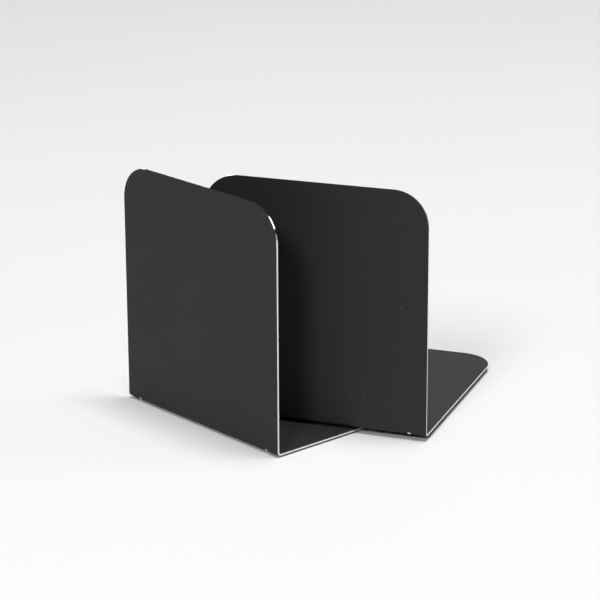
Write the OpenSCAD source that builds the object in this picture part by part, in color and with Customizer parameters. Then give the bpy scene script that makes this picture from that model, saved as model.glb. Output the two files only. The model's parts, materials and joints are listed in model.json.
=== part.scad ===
// A pair of folded sheet-steel book ends. The second stands on the base of the first,
// turned to one side. Millimetres, +Z up, the first upright facing -Y.

/* [Book end] */
// Width of the sheet, along the fold
plate_width = 130; // [100:1:200]
// Depth of the base, from the outside of the upright to the free edge
base_depth = 140; // [100:1:220]
// Height of a book end, from the surface that it stands on
overall_height = 140; // [100:1:260]
// Thickness of the steel sheet
sheet_thickness = 1; // [0.6:0.1:3]
// Radius on the inside of the fold
fold_inner_radius = 1.2; // [0.6:0.1:4]
// Radius of the two top corners of the upright
upright_corner_radius = 20; // [2:1:45]
// Radius of the two free corners of the base
base_corner_radius = 20; // [2:1:45]

/* [Hanging holes] */
// Diameter of the small holes through the fold, which hang the sheet on the paint line
hanging_hole_diameter = 2; // [1:0.1:4]
// Distance of a hanging hole from the side edge of the sheet
hanging_hole_inset = 10; // [4:0.5:40]

/* [Grip strips] */
// Thickness of a rubber strip under the base
strip_thickness = 1; // [0.5:0.1:4]
// Width of a strip
strip_width = 10; // [4:1:20]
// Distance kept between the ends of a strip and the edge of the sheet
strip_side_margin = 10; // [2:1:30]
// Distance from the outside of the upright to the front strip
front_strip_inset = 12; // [8:1:30]
// Distance from the free edge of the base to the rear strip
rear_strip_inset = 30; // [4:1:40]

/* [Second book end] */
// Angle by which the second book end is turned, seen from above
right_turn = 28; // [0:1:35]
// How far its right side edge stands out past the first one's, at the fold
right_overhang = 37; // [0:1:50]
// Gap between the first upright and the nearest corner of the second
corner_gap = 14; // [1:0.5:40]
// Clearance between the second one's strips and the base that they stand on
stacking_clearance = 0.05; // [0.02:0.01:0.3]

/* [Hidden] */
$fn = 96;

plate_colour = [0.09, 0.09, 0.095];
strip_colour = [0.2, 0.2, 0.2];

fold_outer_radius = fold_inner_radius + sheet_thickness;
upright_height = overall_height - strip_thickness;

// A strip stops short of the rounded corners of the base as well as of its sides.
corner_bite = max(0, base_corner_radius - rear_strip_inset);
corner_setback = base_corner_radius - sqrt(pow(base_corner_radius, 2) - pow(corner_bite, 2));
strip_inset = corner_setback + strip_side_margin;
strip_length = plate_width - 2 * strip_inset;
rear_strip_start = base_depth - rear_strip_inset - strip_width;

// Where the fold's right end is, for each book end: the first stands at zero.
stack_height = strip_thickness + sheet_thickness + stacking_clearance;
right_depth = sheet_thickness + corner_gap + plate_width * sin(right_turn);
left_place = [0, 0, 0];
right_place = [right_overhang, right_depth, stack_height];

// The plan outline of a book end, as corners with their radii, and how far the pair reaches.
plan_corners = [
    [0, 0, 0],
    [-plate_width, 0, 0],
    [base_corner_radius - plate_width, base_depth - base_corner_radius, base_corner_radius],
    [-base_corner_radius, base_depth - base_corner_radius, base_corner_radius]
];
function turned(p, angle) = [
    p.x * cos(angle) - p.y * sin(angle),
    p.x * sin(angle) + p.y * cos(angle),
    p.z
];
reach = concat(
    [for (c = plan_corners) turned(c, 0) + [left_place.x, left_place.y, 0]],
    [for (c = plan_corners) turned(c, right_turn) + [right_place.x, right_place.y, 0]]
);
low_x = min([for (c = reach) c.x - c.z]);
high_x = max([for (c = reach) c.x + c.z]);
low_y = min([for (c = reach) c.y - c.z]);
high_y = max([for (c = reach) c.y + c.z]);

// The origin is under the middle of the pair.
module on_left() {
    translate([-(low_x + high_x) / 2, -(low_y + high_y) / 2, 0])
        translate(left_place) children();
}

module on_right() {
    translate([-(low_x + high_x) / 2, -(low_y + high_y) / 2, 0])
        translate(right_place) rotate([0, 0, right_turn]) children();
}

// Flat sheet, square where it meets the fold and rounded at its free end.
module sheet_tab(length, corner_radius) {
    linear_extrude(sheet_thickness) {
        square([plate_width, length - corner_radius]);
        translate([corner_radius, 0]) square([plate_width - 2 * corner_radius, length]);
        for (x = [corner_radius, plate_width - corner_radius])
            translate([x, length - corner_radius]) circle(corner_radius);
    }
}

// The quarter turn of sheet between the upright and the base.
module fold() {
    translate([-plate_width, fold_outer_radius, fold_outer_radius])
        rotate([0, 90, 0]) rotate([0, 0, -90]) rotate_extrude(angle = 90)
            translate([fold_inner_radius, 0]) square([sheet_thickness, plate_width]);
}

// Straight through the fold, from the inside of the corner outwards and down.
module hanging_hole() {
    translate([0, fold_outer_radius, fold_outer_radius])
        rotate([135, 0, 0]) cylinder(h = 2 * fold_outer_radius, d = hanging_hole_diameter);
}

// One steel sheet: its fold runs along X with its right end at zero, and the base runs to +Y.
module folded_plate() {
    color(plate_colour) translate([0, 0, strip_thickness]) difference() {
        union() {
            translate([-plate_width, fold_outer_radius, 0])
                sheet_tab(base_depth - fold_outer_radius, base_corner_radius);
            translate([-plate_width, sheet_thickness, fold_outer_radius])
                rotate([90, 0, 0])
                    sheet_tab(upright_height - fold_outer_radius, upright_corner_radius);
            fold();
        }
        for (x = [-hanging_hole_inset, hanging_hole_inset - plate_width])
            translate([x, 0, 0]) hanging_hole();
    }
}

// A rubber strip under the base, parallel to the fold.
module grip_strip(start) {
    color(strip_colour) translate([-strip_inset - strip_length, start, 0])
        cube([strip_length, strip_width, strip_thickness]);
}

module left_plate() { on_left() folded_plate(); }
module left_front_grip_strip() { on_left() grip_strip(front_strip_inset); }
module left_rear_grip_strip() { on_left() grip_strip(rear_strip_start); }
module right_plate() { on_right() folded_plate(); }
module right_front_grip_strip() { on_right() grip_strip(front_strip_inset); }
module right_rear_grip_strip() { on_right() grip_strip(rear_strip_start); }

left_plate();
left_front_grip_strip();
left_rear_grip_strip();
right_plate();
right_front_grip_strip();
right_rear_grip_strip();
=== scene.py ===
# A pair of black sheet-steel book ends. Each is one folded sheet with two rubber strips
# under its base. The second stands on the base of the first, turned aside. All lengths
# are in metres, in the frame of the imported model.
import json
import math

import bmesh
import bpy
from mathutils import Matrix, Vector


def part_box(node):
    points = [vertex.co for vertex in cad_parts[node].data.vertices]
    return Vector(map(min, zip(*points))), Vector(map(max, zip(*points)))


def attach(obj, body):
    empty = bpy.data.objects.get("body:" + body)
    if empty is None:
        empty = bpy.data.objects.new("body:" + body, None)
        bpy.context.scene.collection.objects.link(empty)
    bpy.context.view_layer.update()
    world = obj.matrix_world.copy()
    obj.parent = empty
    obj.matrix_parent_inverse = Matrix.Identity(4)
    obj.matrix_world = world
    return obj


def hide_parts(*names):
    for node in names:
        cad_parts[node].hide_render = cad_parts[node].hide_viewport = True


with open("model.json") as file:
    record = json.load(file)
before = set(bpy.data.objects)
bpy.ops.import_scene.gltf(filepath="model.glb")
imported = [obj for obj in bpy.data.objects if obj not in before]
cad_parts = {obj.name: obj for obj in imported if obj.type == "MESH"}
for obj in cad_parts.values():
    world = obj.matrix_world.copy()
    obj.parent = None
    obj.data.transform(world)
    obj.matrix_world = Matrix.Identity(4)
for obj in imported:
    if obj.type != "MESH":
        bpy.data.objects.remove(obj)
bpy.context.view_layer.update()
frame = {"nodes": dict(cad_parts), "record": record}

# ---------------------------------------------------------------- sizes

SHEET_THICKNESS = 0.001
FOLD_INNER_RADIUS = 0.0012
FOLD_OUTER_RADIUS = FOLD_INNER_RADIUS + SHEET_THICKNESS
UPRIGHT_CORNER_RADIUS = 0.020
BASE_CORNER_RADIUS = 0.020
ARRIS = 0.00006
ARRIS_STEPS = 2
HOLE_RADIUS = 0.001
HOLE_INSET = 0.010
# a drill lies level along Z, and this turn about X points it out of the fold and down
DRILL_TURN = math.radians(135.0)

FOLD_STEPS = 20
CORNER_STEPS = 32
HOLE_STEPS = 48
SHARP_ANGLE = math.radians(50.0)
MERGE_DISTANCE = 1e-7

GROOVE_COUNT = 4
GROOVE_WIDTH = 0.0009
GROOVE_DEPTH = 0.00035
GROOVE_END_MARGIN = 0.0012
STRIP_ARRIS = 0.00015
FACES_DOWN = -0.9
ADHESIVE_THICKNESS = 0.00015
ADHESIVE_MARGIN = 0.0004

# Where each book end stands: the right end of its fold, on the outside of the sheet.
left_low, left_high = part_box("left_plate")
right_low, right_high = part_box("right_plate")
PLATE_WIDTH = left_high.x - left_low.x
BASE_DEPTH = left_high.y - left_low.y
SHEET_HEIGHT = left_high.z - left_low.z
mounts = {m["name"]: m for m in frame["record"]["mounts"]}
facing = Vector(mounts["right_book_face"]["axis"])
RIGHT_TURN = math.atan2(-facing.x, facing.y)
right_fold_y = right_low.y + PLATE_WIDTH * math.sin(RIGHT_TURN)
PLACES = {
    "left": Matrix.Translation((left_high.x, left_low.y, left_low.z)),
    "right": Matrix.Translation((right_high.x, right_fold_y, right_low.z))
    @ Matrix.Rotation(RIGHT_TURN, 4, "Z"),
}

# ---------------------------------------------------------------- finishes

COAT_DARK = (0.0195, 0.0195, 0.0207)
COAT_PALE = (0.0225, 0.0225, 0.0240)
DUST_GREY = (0.075, 0.075, 0.075)
RIM_DARK = (0.70, 0.70, 0.71)
RIM_PALE = (0.82, 0.82, 0.83)
PUNCHED_DARK = (0.74, 0.74, 0.75)
PUNCHED_PALE = (0.90, 0.90, 0.91)
RUBBER_DARK = (0.018, 0.018, 0.018)
RUBBER_PALE = (0.034, 0.033, 0.032)
ADHESIVE_DARK = (0.30, 0.28, 0.24)
ADHESIVE_PALE = (0.42, 0.40, 0.35)
PAPER_DARK = (0.59, 0.59, 0.59)
PAPER_PALE = (0.61, 0.61, 0.61)

# each roughness from its smoothest patch to its roughest
COAT_ROUGHNESS = (0.50, 0.57)
RIM_ROUGHNESS = (0.08, 0.11)
PUNCHED_ROUGHNESS = (0.30, 0.42)
RUBBER_ROUGHNESS = (0.72, 0.88)

COAT_WAVE_HEIGHT = 0.00025
COAT_GRAIN_HEIGHT = 0.00001
RIM_GRAIN_HEIGHT = 0.000001
RUBBER_GRAIN_HEIGHT = 0.00003

# cells of the dust pattern to the metre, and a speck's size in cells
DUST_SCALE = 105.0
DUST_CORE = 0.028
DUST_RIM = 0.048

# most of a noise's values lie between these two
NOISE_LOW = 0.3
NOISE_HIGH = 0.7

# ---------------------------------------------------------------- materials


def new_material(name):
    """A material, its Principled node and its Object coordinates."""
    material = bpy.data.materials.new(name)
    material.use_nodes = True
    nodes = material.node_tree.nodes
    shader = nodes["Principled BSDF"]
    place = nodes.new("ShaderNodeTexCoord")
    return material, shader, place.outputs["Object"]


def add_noise(material, coordinates, scale, detail, roughness=0.5):
    """A noise with that many cells to the metre."""
    node = material.node_tree.nodes.new("ShaderNodeTexNoise")
    node.inputs["Scale"].default_value = scale
    node.inputs["Detail"].default_value = detail
    node.inputs["Roughness"].default_value = roughness
    material.node_tree.links.new(coordinates, node.inputs["Vector"])
    return node.outputs["Fac"]


def add_range(material, value, low, high, out_low, out_high):
    """The value taken from one range to another, held at the ends."""
    node = material.node_tree.nodes.new("ShaderNodeMapRange")
    node.inputs["From Min"].default_value = low
    node.inputs["From Max"].default_value = high
    node.inputs["To Min"].default_value = out_low
    node.inputs["To Max"].default_value = out_high
    material.node_tree.links.new(value, node.inputs["Value"])
    return node.outputs["Result"]


def add_spread(material, noise, limits):
    """A noise spread out between two limits."""
    return add_range(material, noise, NOISE_LOW, NOISE_HIGH, *limits)


def add_specks(material, coordinates, scale, core, rim):
    """1 in the middle of each speck and 0 past its rim, both in cells of the pattern."""
    node = material.node_tree.nodes.new("ShaderNodeTexVoronoi")
    node.inputs["Scale"].default_value = scale
    material.node_tree.links.new(coordinates, node.inputs["Vector"])
    return add_range(material, node.outputs["Distance"], core, rim, 1.0, 0.0)


def add_bump(material, height, distance, under=None):
    """A bump of that height in metres, on top of another bump if one is given."""
    node = material.node_tree.nodes.new("ShaderNodeBump")
    node.inputs["Distance"].default_value = distance
    node.inputs["Strength"].default_value = 1.0
    material.node_tree.links.new(height, node.inputs["Height"])
    if under is not None:
        material.node_tree.links.new(under, node.inputs["Normal"])
    return node.outputs["Normal"]


def add_mix(material, share, first, second):
    """Two colours mixed by a share from 0 to 1."""
    node = material.node_tree.nodes.new("ShaderNodeMix")
    node.data_type = "RGBA"
    material.node_tree.links.new(share, node.inputs["Factor"])
    for socket, colour in (("A", first), ("B", second)):
        target = [s for s in node.inputs if s.name == socket and s.type == "RGBA"][0]
        if isinstance(colour, tuple):
            target.default_value = (*colour, 1.0)
        else:
            material.node_tree.links.new(colour, target)
    return [s for s in node.outputs if s.type == "RGBA"][0]


def satin_black_coating():
    """Powder coat: slightly mottled and wavy, with a fine grain and sparse specks of dust."""
    material, shader, place = new_material("satin_black_coating")
    link = material.node_tree.links.new
    mottle = add_noise(material, place, scale=28.0, detail=3.0)
    black = add_mix(material, mottle, COAT_DARK, COAT_PALE)
    dust = add_specks(material, place, DUST_SCALE, DUST_CORE, DUST_RIM)
    link(add_mix(material, dust, black, DUST_GREY), shader.inputs["Base Color"])
    patches = add_noise(material, place, scale=14.0, detail=4.0, roughness=0.6)
    link(add_spread(material, patches, COAT_ROUGHNESS), shader.inputs["Roughness"])
    swell = add_noise(material, place, scale=9.0, detail=1.0)
    waves = add_bump(material, swell, COAT_WAVE_HEIGHT)
    grain = add_noise(material, place, scale=420.0, detail=3.0, roughness=0.6)
    link(add_bump(material, grain, COAT_GRAIN_HEIGHT, waves), shader.inputs["Normal"])
    shader.inputs["Specular IOR Level"].default_value = 0.2
    return material


def bare_cut_steel():
    """The sheared rim of the sheet, bright and fairly smooth."""
    material, shader, place = new_material("bare_cut_steel")
    link = material.node_tree.links.new
    tone = add_noise(material, place, scale=160.0, detail=3.0)
    link(add_mix(material, tone, RIM_DARK, RIM_PALE), shader.inputs["Base Color"])
    shader.inputs["Metallic"].default_value = 1.0
    link(add_spread(material, tone, RIM_ROUGHNESS), shader.inputs["Roughness"])
    grain = add_noise(material, place, scale=2600.0, detail=2.0)
    link(add_bump(material, grain, RIM_GRAIN_HEIGHT), shader.inputs["Normal"])
    return material


def punched_steel():
    """The torn, matt wall of a hole."""
    material, shader, place = new_material("punched_steel")
    link = material.node_tree.links.new
    tone = add_noise(material, place, scale=700.0, detail=3.0)
    link(add_mix(material, tone, PUNCHED_DARK, PUNCHED_PALE), shader.inputs["Base Color"])
    shader.inputs["Metallic"].default_value = 0.3
    link(add_spread(material, tone, PUNCHED_ROUGHNESS), shader.inputs["Roughness"])
    return material


def grip_rubber():
    """Matt rubber with a fine moulded grain."""
    material, shader, place = new_material("grip_rubber")
    link = material.node_tree.links.new
    tone = add_noise(material, place, scale=90.0, detail=4.0, roughness=0.6)
    link(add_mix(material, tone, RUBBER_DARK, RUBBER_PALE), shader.inputs["Base Color"])
    link(add_spread(material, tone, RUBBER_ROUGHNESS), shader.inputs["Roughness"])
    grain = add_noise(material, place, scale=1500.0, detail=3.0, roughness=0.7)
    link(add_bump(material, grain, RUBBER_GRAIN_HEIGHT), shader.inputs["Normal"])
    return material


def adhesive_film():
    """The yellowish film that holds a strip to its sheet."""
    material, shader, place = new_material("adhesive_film")
    tone = add_noise(material, place, scale=300.0, detail=2.0)
    colour = add_mix(material, tone, ADHESIVE_DARK, ADHESIVE_PALE)
    material.node_tree.links.new(colour, shader.inputs["Base Color"])
    shader.inputs["Roughness"].default_value = 0.45
    return material


def pale_paper():
    material, shader, place = new_material("pale_paper")
    tone = add_noise(material, place, scale=3.0, detail=2.0)
    colour = add_mix(material, tone, PAPER_DARK, PAPER_PALE)
    material.node_tree.links.new(colour, shader.inputs["Base Color"])
    shader.inputs["Roughness"].default_value = 0.9
    shader.inputs["Specular IOR Level"].default_value = 0.1
    return material


COATING = satin_black_coating()
CUT_STEEL = bare_cut_steel()
HOLE_WALL = punched_steel()
RUBBER = grip_rubber()
ADHESIVE = adhesive_film()
PAPER = pale_paper()

# ---------------------------------------------------------------- helpers


def keep(bm, name, materials, place):
    """Turns a bmesh into an object at the origin, with its place in its mesh."""
    mesh = bpy.data.meshes.new(name)
    bm.to_mesh(mesh)
    bm.free()
    for material in materials:
        mesh.materials.append(material)
    mesh.transform(place)
    piece = bpy.data.objects.new(name, mesh)
    bpy.context.scene.collection.objects.link(piece)
    return piece


def of_type(geometry, kind):
    return [g for g in geometry if isinstance(g, kind)]


def round_arrises(bm, edges, size):
    bmesh.ops.bevel(
        bm, geom=edges, offset=size, offset_type="OFFSET", segments=ARRIS_STEPS,
        profile=0.5, affect="EDGES", material=-1, clamp_overlap=True,
    )


def place_cube(bm, size, middle):
    """A cube of that size about that middle. Returns its vertices."""
    verts = bmesh.ops.create_cube(bm, size=1.0)["verts"]
    bmesh.ops.scale(bm, verts=verts, vec=size)
    bmesh.ops.translate(bm, verts=verts, vec=middle)
    return verts


# ---------------------------------------------------------------- folded sheet


def sheet_surface(bm):
    """The outside of the sheet: a strip drawn down the upright, round the fold and along
    the base, with its four free corners rounded."""
    top = [bm.verts.new((x, 0.0, SHEET_HEIGHT)) for x in (-PLATE_WIDTH, 0.0)]
    edge = bm.edges.new(top)
    grown = bmesh.ops.extrude_edge_only(bm, edges=[edge])["geom"]
    down = (0.0, 0.0, FOLD_OUTER_RADIUS - SHEET_HEIGHT)
    bmesh.ops.translate(bm, verts=of_type(grown, bmesh.types.BMVert), vec=down)
    edge = of_type(grown, bmesh.types.BMEdge)[0]
    turned = bmesh.ops.spin(
        bm, geom=[edge, *edge.verts], cent=(0.0, FOLD_OUTER_RADIUS, FOLD_OUTER_RADIUS),
        axis=(1.0, 0.0, 0.0), angle=math.radians(90.0), steps=FOLD_STEPS, use_merge=False,
    )["geom_last"]
    edge = of_type(turned, bmesh.types.BMEdge)[0]
    grown = bmesh.ops.extrude_edge_only(bm, edges=[edge])["geom"]
    far = of_type(grown, bmesh.types.BMVert)
    bmesh.ops.translate(bm, verts=far, vec=(0.0, BASE_DEPTH - FOLD_OUTER_RADIUS, 0.0))
    bmesh.ops.remove_doubles(bm, verts=list(bm.verts), dist=MERGE_DISTANCE)
    for corners, radius in ((top, UPRIGHT_CORNER_RADIUS), (far, BASE_CORNER_RADIUS)):
        bmesh.ops.bevel(
            bm, geom=corners, offset=radius, offset_type="OFFSET", segments=CORNER_STEPS,
            profile=0.5, affect="VERTICES", material=-1,
        )


def thicken(bm):
    """Gives the surface its thickness on the inside of the fold. The rim's faces take the
    cut steel, and their long edges a fine arris."""
    bmesh.ops.recalc_face_normals(bm, faces=list(bm.faces))
    upright = max(bm.faces, key=lambda f: f.calc_center_median().z)
    if upright.normal.y > 0.0:
        bmesh.ops.reverse_faces(bm, faces=list(bm.faces))
    outside = set(bm.verts)
    bmesh.ops.solidify(bm, geom=list(bm.faces), thickness=SHEET_THICKNESS)
    for face in bm.faces:
        on_outside = [v in outside for v in face.verts]
        if any(on_outside) and not all(on_outside):
            face.material_index = 1
    bmesh.ops.recalc_face_normals(bm, faces=list(bm.faces))
    arrises = [
        e for e in bm.edges
        if sorted(f.material_index for f in e.link_faces) == [0, 1]
    ]
    round_arrises(bm, arrises, ARRIS)


def hole_cutter(x):
    """A drill through the fold, from the inside of the corner outwards and down."""
    bm = bmesh.new()
    bmesh.ops.create_cone(
        bm, cap_ends=True, segments=HOLE_STEPS, radius1=HOLE_RADIUS, radius2=HOLE_RADIUS,
        depth=2.0 * FOLD_OUTER_RADIUS,
    )
    for face in bm.faces:
        face.smooth = True
    aim = Matrix.Rotation(DRILL_TURN, 4, "X")
    centre = Matrix.Translation((x, FOLD_OUTER_RADIUS, FOLD_OUTER_RADIUS))
    out = Matrix.Translation((0.0, 0.0, FOLD_OUTER_RADIUS))
    return keep(bm, "hole_cutter", [HOLE_WALL], centre @ aim @ out)


def drill(piece, cutters):
    """Cuts the holes out of the piece and takes the cutters away."""
    for cutter in cutters:
        cut = piece.modifiers.new("hole", "BOOLEAN")
        cut.operation = "DIFFERENCE"
        cut.solver = "EXACT"
        cut.material_mode = "TRANSFER"
        cut.object = cutter
    graph = bpy.context.evaluated_depsgraph_get()
    mesh = bpy.data.meshes.new_from_object(piece.evaluated_get(graph))
    piece.modifiers.clear()
    piece.data = mesh
    for cutter in cutters:
        bpy.data.objects.remove(cutter)


def folded_sheet(side):
    """One book end's sheet, folded, drilled and put in its place."""
    bm = bmesh.new()
    sheet_surface(bm)
    thicken(bm)
    for face in bm.faces:
        face.smooth = True
    piece = keep(bm, side + "_folded_sheet", [COATING, CUT_STEEL], Matrix.Identity(4))
    drill(piece, [hole_cutter(x) for x in (-HOLE_INSET, HOLE_INSET - PLATE_WIDTH)])
    piece.data.set_sharp_from_angle(angle=SHARP_ANGLE)
    piece.data.transform(PLACES[side])
    weigh = piece.modifiers.new("flat_faces_stay_flat", "WEIGHTED_NORMAL")
    weigh.keep_sharp = True
    weigh.weight = 100
    return piece


# ---------------------------------------------------------------- grip strips


def strip_limits(side, node):
    """The strip's lowest and highest corners as its own plate sees them. The box of a
    node that is turned with its plate is too big, so they come from its mesh."""
    here = PLACES[side].inverted()
    corners = [here @ v.co for v in frame["nodes"][node].data.vertices]
    low = Vector([min(c[k] for c in corners) for k in range(3)])
    high = Vector([max(c[k] for c in corners) for k in range(3)])
    return low, high


def sort_by_place(bm):
    """Puts the vertices and faces in one order, since bmesh gives another one each run."""
    verts = sorted(bm.verts, key=lambda v: v.co.to_tuple(7))
    rank = {v: i for i, v in enumerate(verts)}
    bm.verts.sort(key=lambda v: rank[v])
    faces = sorted(bm.faces, key=lambda f: sorted(rank[v] for v in f.verts))
    rank = {f: i for i, f in enumerate(faces)}
    bm.faces.sort(key=lambda f: rank[f])


def slice_across(bm, point, normal):
    geometry = [*bm.verts, *bm.edges, *bm.faces]
    bmesh.ops.bisect_plane(bm, geom=geometry, plane_co=point, plane_no=normal)


def press_grooves(bm, low, high):
    """Presses the grooves up into the underside, along the strip."""
    pitch = (high.y - low.y) / (GROOVE_COUNT + 1)
    middles = [low.y + pitch * (i + 1) for i in range(GROOVE_COUNT)]
    first, last = low.x + GROOVE_END_MARGIN, high.x - GROOVE_END_MARGIN
    for middle in middles:
        for y in (middle - GROOVE_WIDTH / 2, middle + GROOVE_WIDTH / 2):
            slice_across(bm, (0.0, y, 0.0), (0.0, 1.0, 0.0))
    for x in (first, last):
        slice_across(bm, (x, 0.0, 0.0), (1.0, 0.0, 0.0))
    for middle in middles:
        floor = [
            f for f in bm.faces
            if f.normal.z < FACES_DOWN
            and abs(f.calc_center_median().y - middle) < GROOVE_WIDTH / 2
            and first < f.calc_center_median().x < last
        ]
        grown = bmesh.ops.extrude_face_region(bm, geom=floor)["geom"]
        bmesh.ops.delete(bm, geom=floor, context="FACES")
        lifted = of_type(grown, bmesh.types.BMVert)
        bmesh.ops.translate(bm, verts=lifted, vec=(0.0, 0.0, GROOVE_DEPTH))


def ribbed_strip(side, end, node):
    """A moulded strip with grooves along its underside, on a thin film of adhesive."""
    low, high = strip_limits(side, node)
    rubber_top = high.z - ADHESIVE_THICKNESS
    across = (low + high) / 2
    bm = bmesh.new()
    size = (high.x - low.x, high.y - low.y, rubber_top - low.z)
    place_cube(bm, size, (across.x, across.y, (low.z + rubber_top) / 2))
    round_arrises(bm, list(bm.edges), STRIP_ARRIS)
    press_grooves(bm, low, high)
    bmesh.ops.recalc_face_normals(bm, faces=list(bm.faces))
    trim = 2 * ADHESIVE_MARGIN
    size = (high.x - low.x - trim, high.y - low.y - trim, ADHESIVE_THICKNESS)
    film = place_cube(bm, size, (across.x, across.y, high.z - ADHESIVE_THICKNESS / 2))
    for face in {f for v in film for f in v.link_faces}:
        face.material_index = 1
    sort_by_place(bm)
    return keep(bm, side + "_" + end + "_ribbed_strip", [RUBBER, ADHESIVE], PLACES[side])


# ---------------------------------------------------------------- the pair

for side in ("left", "right"):
    sheet = folded_sheet(side)
    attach(sheet, side + "_book_end")
    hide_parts(side + "_plate")
    for end in ("front", "rear"):
        node = side + "_" + end + "_grip_strip"
        strip = ribbed_strip(side, end, node)
        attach(strip, side + "_book_end")
        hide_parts(node)

# ---------------------------------------------------------------- floor and lights

FLOOR_REACH = 10.0
FLOOR_DROP = 0.00005
BENCH = Vector((0.0, 0.0, 0.07))
TOP_PLACE = Vector((0.6, 0.0, 4.4))
LOW_BACK_PLACE = Vector((-5.2, 4.6, 0.7))


def paper_floor():
    """A wide sheet of paper, just clear of the strips."""
    bm = bmesh.new()
    bmesh.ops.create_grid(bm, x_segments=1, y_segments=1, size=FLOOR_REACH)
    return keep(bm, "floor", [PAPER], Matrix.Translation((0.0, 0.0, -FLOOR_DROP)))


def around(azimuth, elevation, distance):
    """A place round the origin, with the azimuth turning from +X towards +Y."""
    turn = math.radians(azimuth)
    rise = math.radians(elevation)
    level = distance * math.cos(rise)
    return Vector((level * math.cos(turn), level * math.sin(turn), distance * math.sin(rise)))


def softbox(name, place, width, height, watts, in_gloss):
    """A rectangular lamp aimed at the bench. Out of the gloss, it leaves no burnt spot on
    a bare edge."""
    light = bpy.data.lights.new(name, "AREA")
    light.shape = "RECTANGLE"
    light.size = width
    light.size_y = height
    light.energy = watts
    lamp = bpy.data.objects.new(name, light)
    lamp.location = place
    lamp.rotation_mode = "QUATERNION"
    lamp.rotation_quaternion = (BENCH - place).to_track_quat("-Z", "Y")
    lamp.visible_camera = False
    lamp.visible_glossy = in_gloss
    bpy.context.scene.collection.objects.link(lamp)


def studio_glow(horizon, sky, glow_top, glow_end):
    """A pale glow round the horizon, fading between two elevations to a dim sky."""
    world = bpy.data.worlds.new("studio")
    world.use_nodes = True
    nodes = world.node_tree.nodes
    link = world.node_tree.links.new
    direction = nodes.new("ShaderNodeTexCoord")
    height = nodes.new("ShaderNodeSeparateXYZ")
    fade = nodes.new("ShaderNodeMapRange")
    fade.inputs["From Min"].default_value = math.sin(math.radians(glow_top))
    fade.inputs["From Max"].default_value = math.sin(math.radians(glow_end))
    fade.inputs["To Min"].default_value = horizon
    fade.inputs["To Max"].default_value = sky
    link(direction.outputs["Generated"], height.inputs["Vector"])
    link(height.outputs["Z"], fade.inputs["Value"])
    link(fade.outputs["Result"], nodes["Background"].inputs["Color"])
    bpy.context.scene.world = world


paper_floor()
softbox("key", around(-62.0, 36.0, 5.0), width=0.9, height=1.1, watts=134.0, in_gloss=False)
softbox("top", TOP_PLACE, width=2.0, height=2.0, watts=240.0, in_gloss=False)
softbox("low_back", LOW_BACK_PLACE, width=6.8, height=1.4, watts=88.0, in_gloss=True)
softbox("edge_light", around(51.0, 40.0, 3.2), width=1.25, height=1.6, watts=14.0, in_gloss=True)
studio_glow(horizon=0.4, sky=0.03, glow_top=8.0, glow_end=13.0)
bpy.context.scene.view_settings.view_transform = "Standard"

# ---------------------------------------------------------------- camera

CAMERA_AZIMUTH = 48.23
CAMERA_ELEVATION = 17.94
CAMERA_ROLL = -0.22
CAMERA_DISTANCE = 1.4164
CAMERA_AIM = Vector((-0.0146, -0.0224, 0.0586))
LENS_MM = 148.8
SENSOR_MM = 36.0


def set_up_camera():
    """The camera's azimuth turns from -Y towards +X."""
    back = around(CAMERA_AZIMUTH - 90.0, CAMERA_ELEVATION, 1.0)
    data = bpy.data.cameras.new("camera")
    data.sensor_width = SENSOR_MM
    data.lens = LENS_MM
    camera = bpy.data.objects.new("camera", data)
    camera.location = CAMERA_AIM + back * CAMERA_DISTANCE
    camera.rotation_mode = "QUATERNION"
    roll = Matrix.Rotation(math.radians(CAMERA_ROLL), 3, "Z").to_quaternion()
    camera.rotation_quaternion = (-back).to_track_quat("-Z", "Y") @ roll
    bpy.context.scene.collection.objects.link(camera)
    bpy.context.scene.camera = camera


set_up_camera()
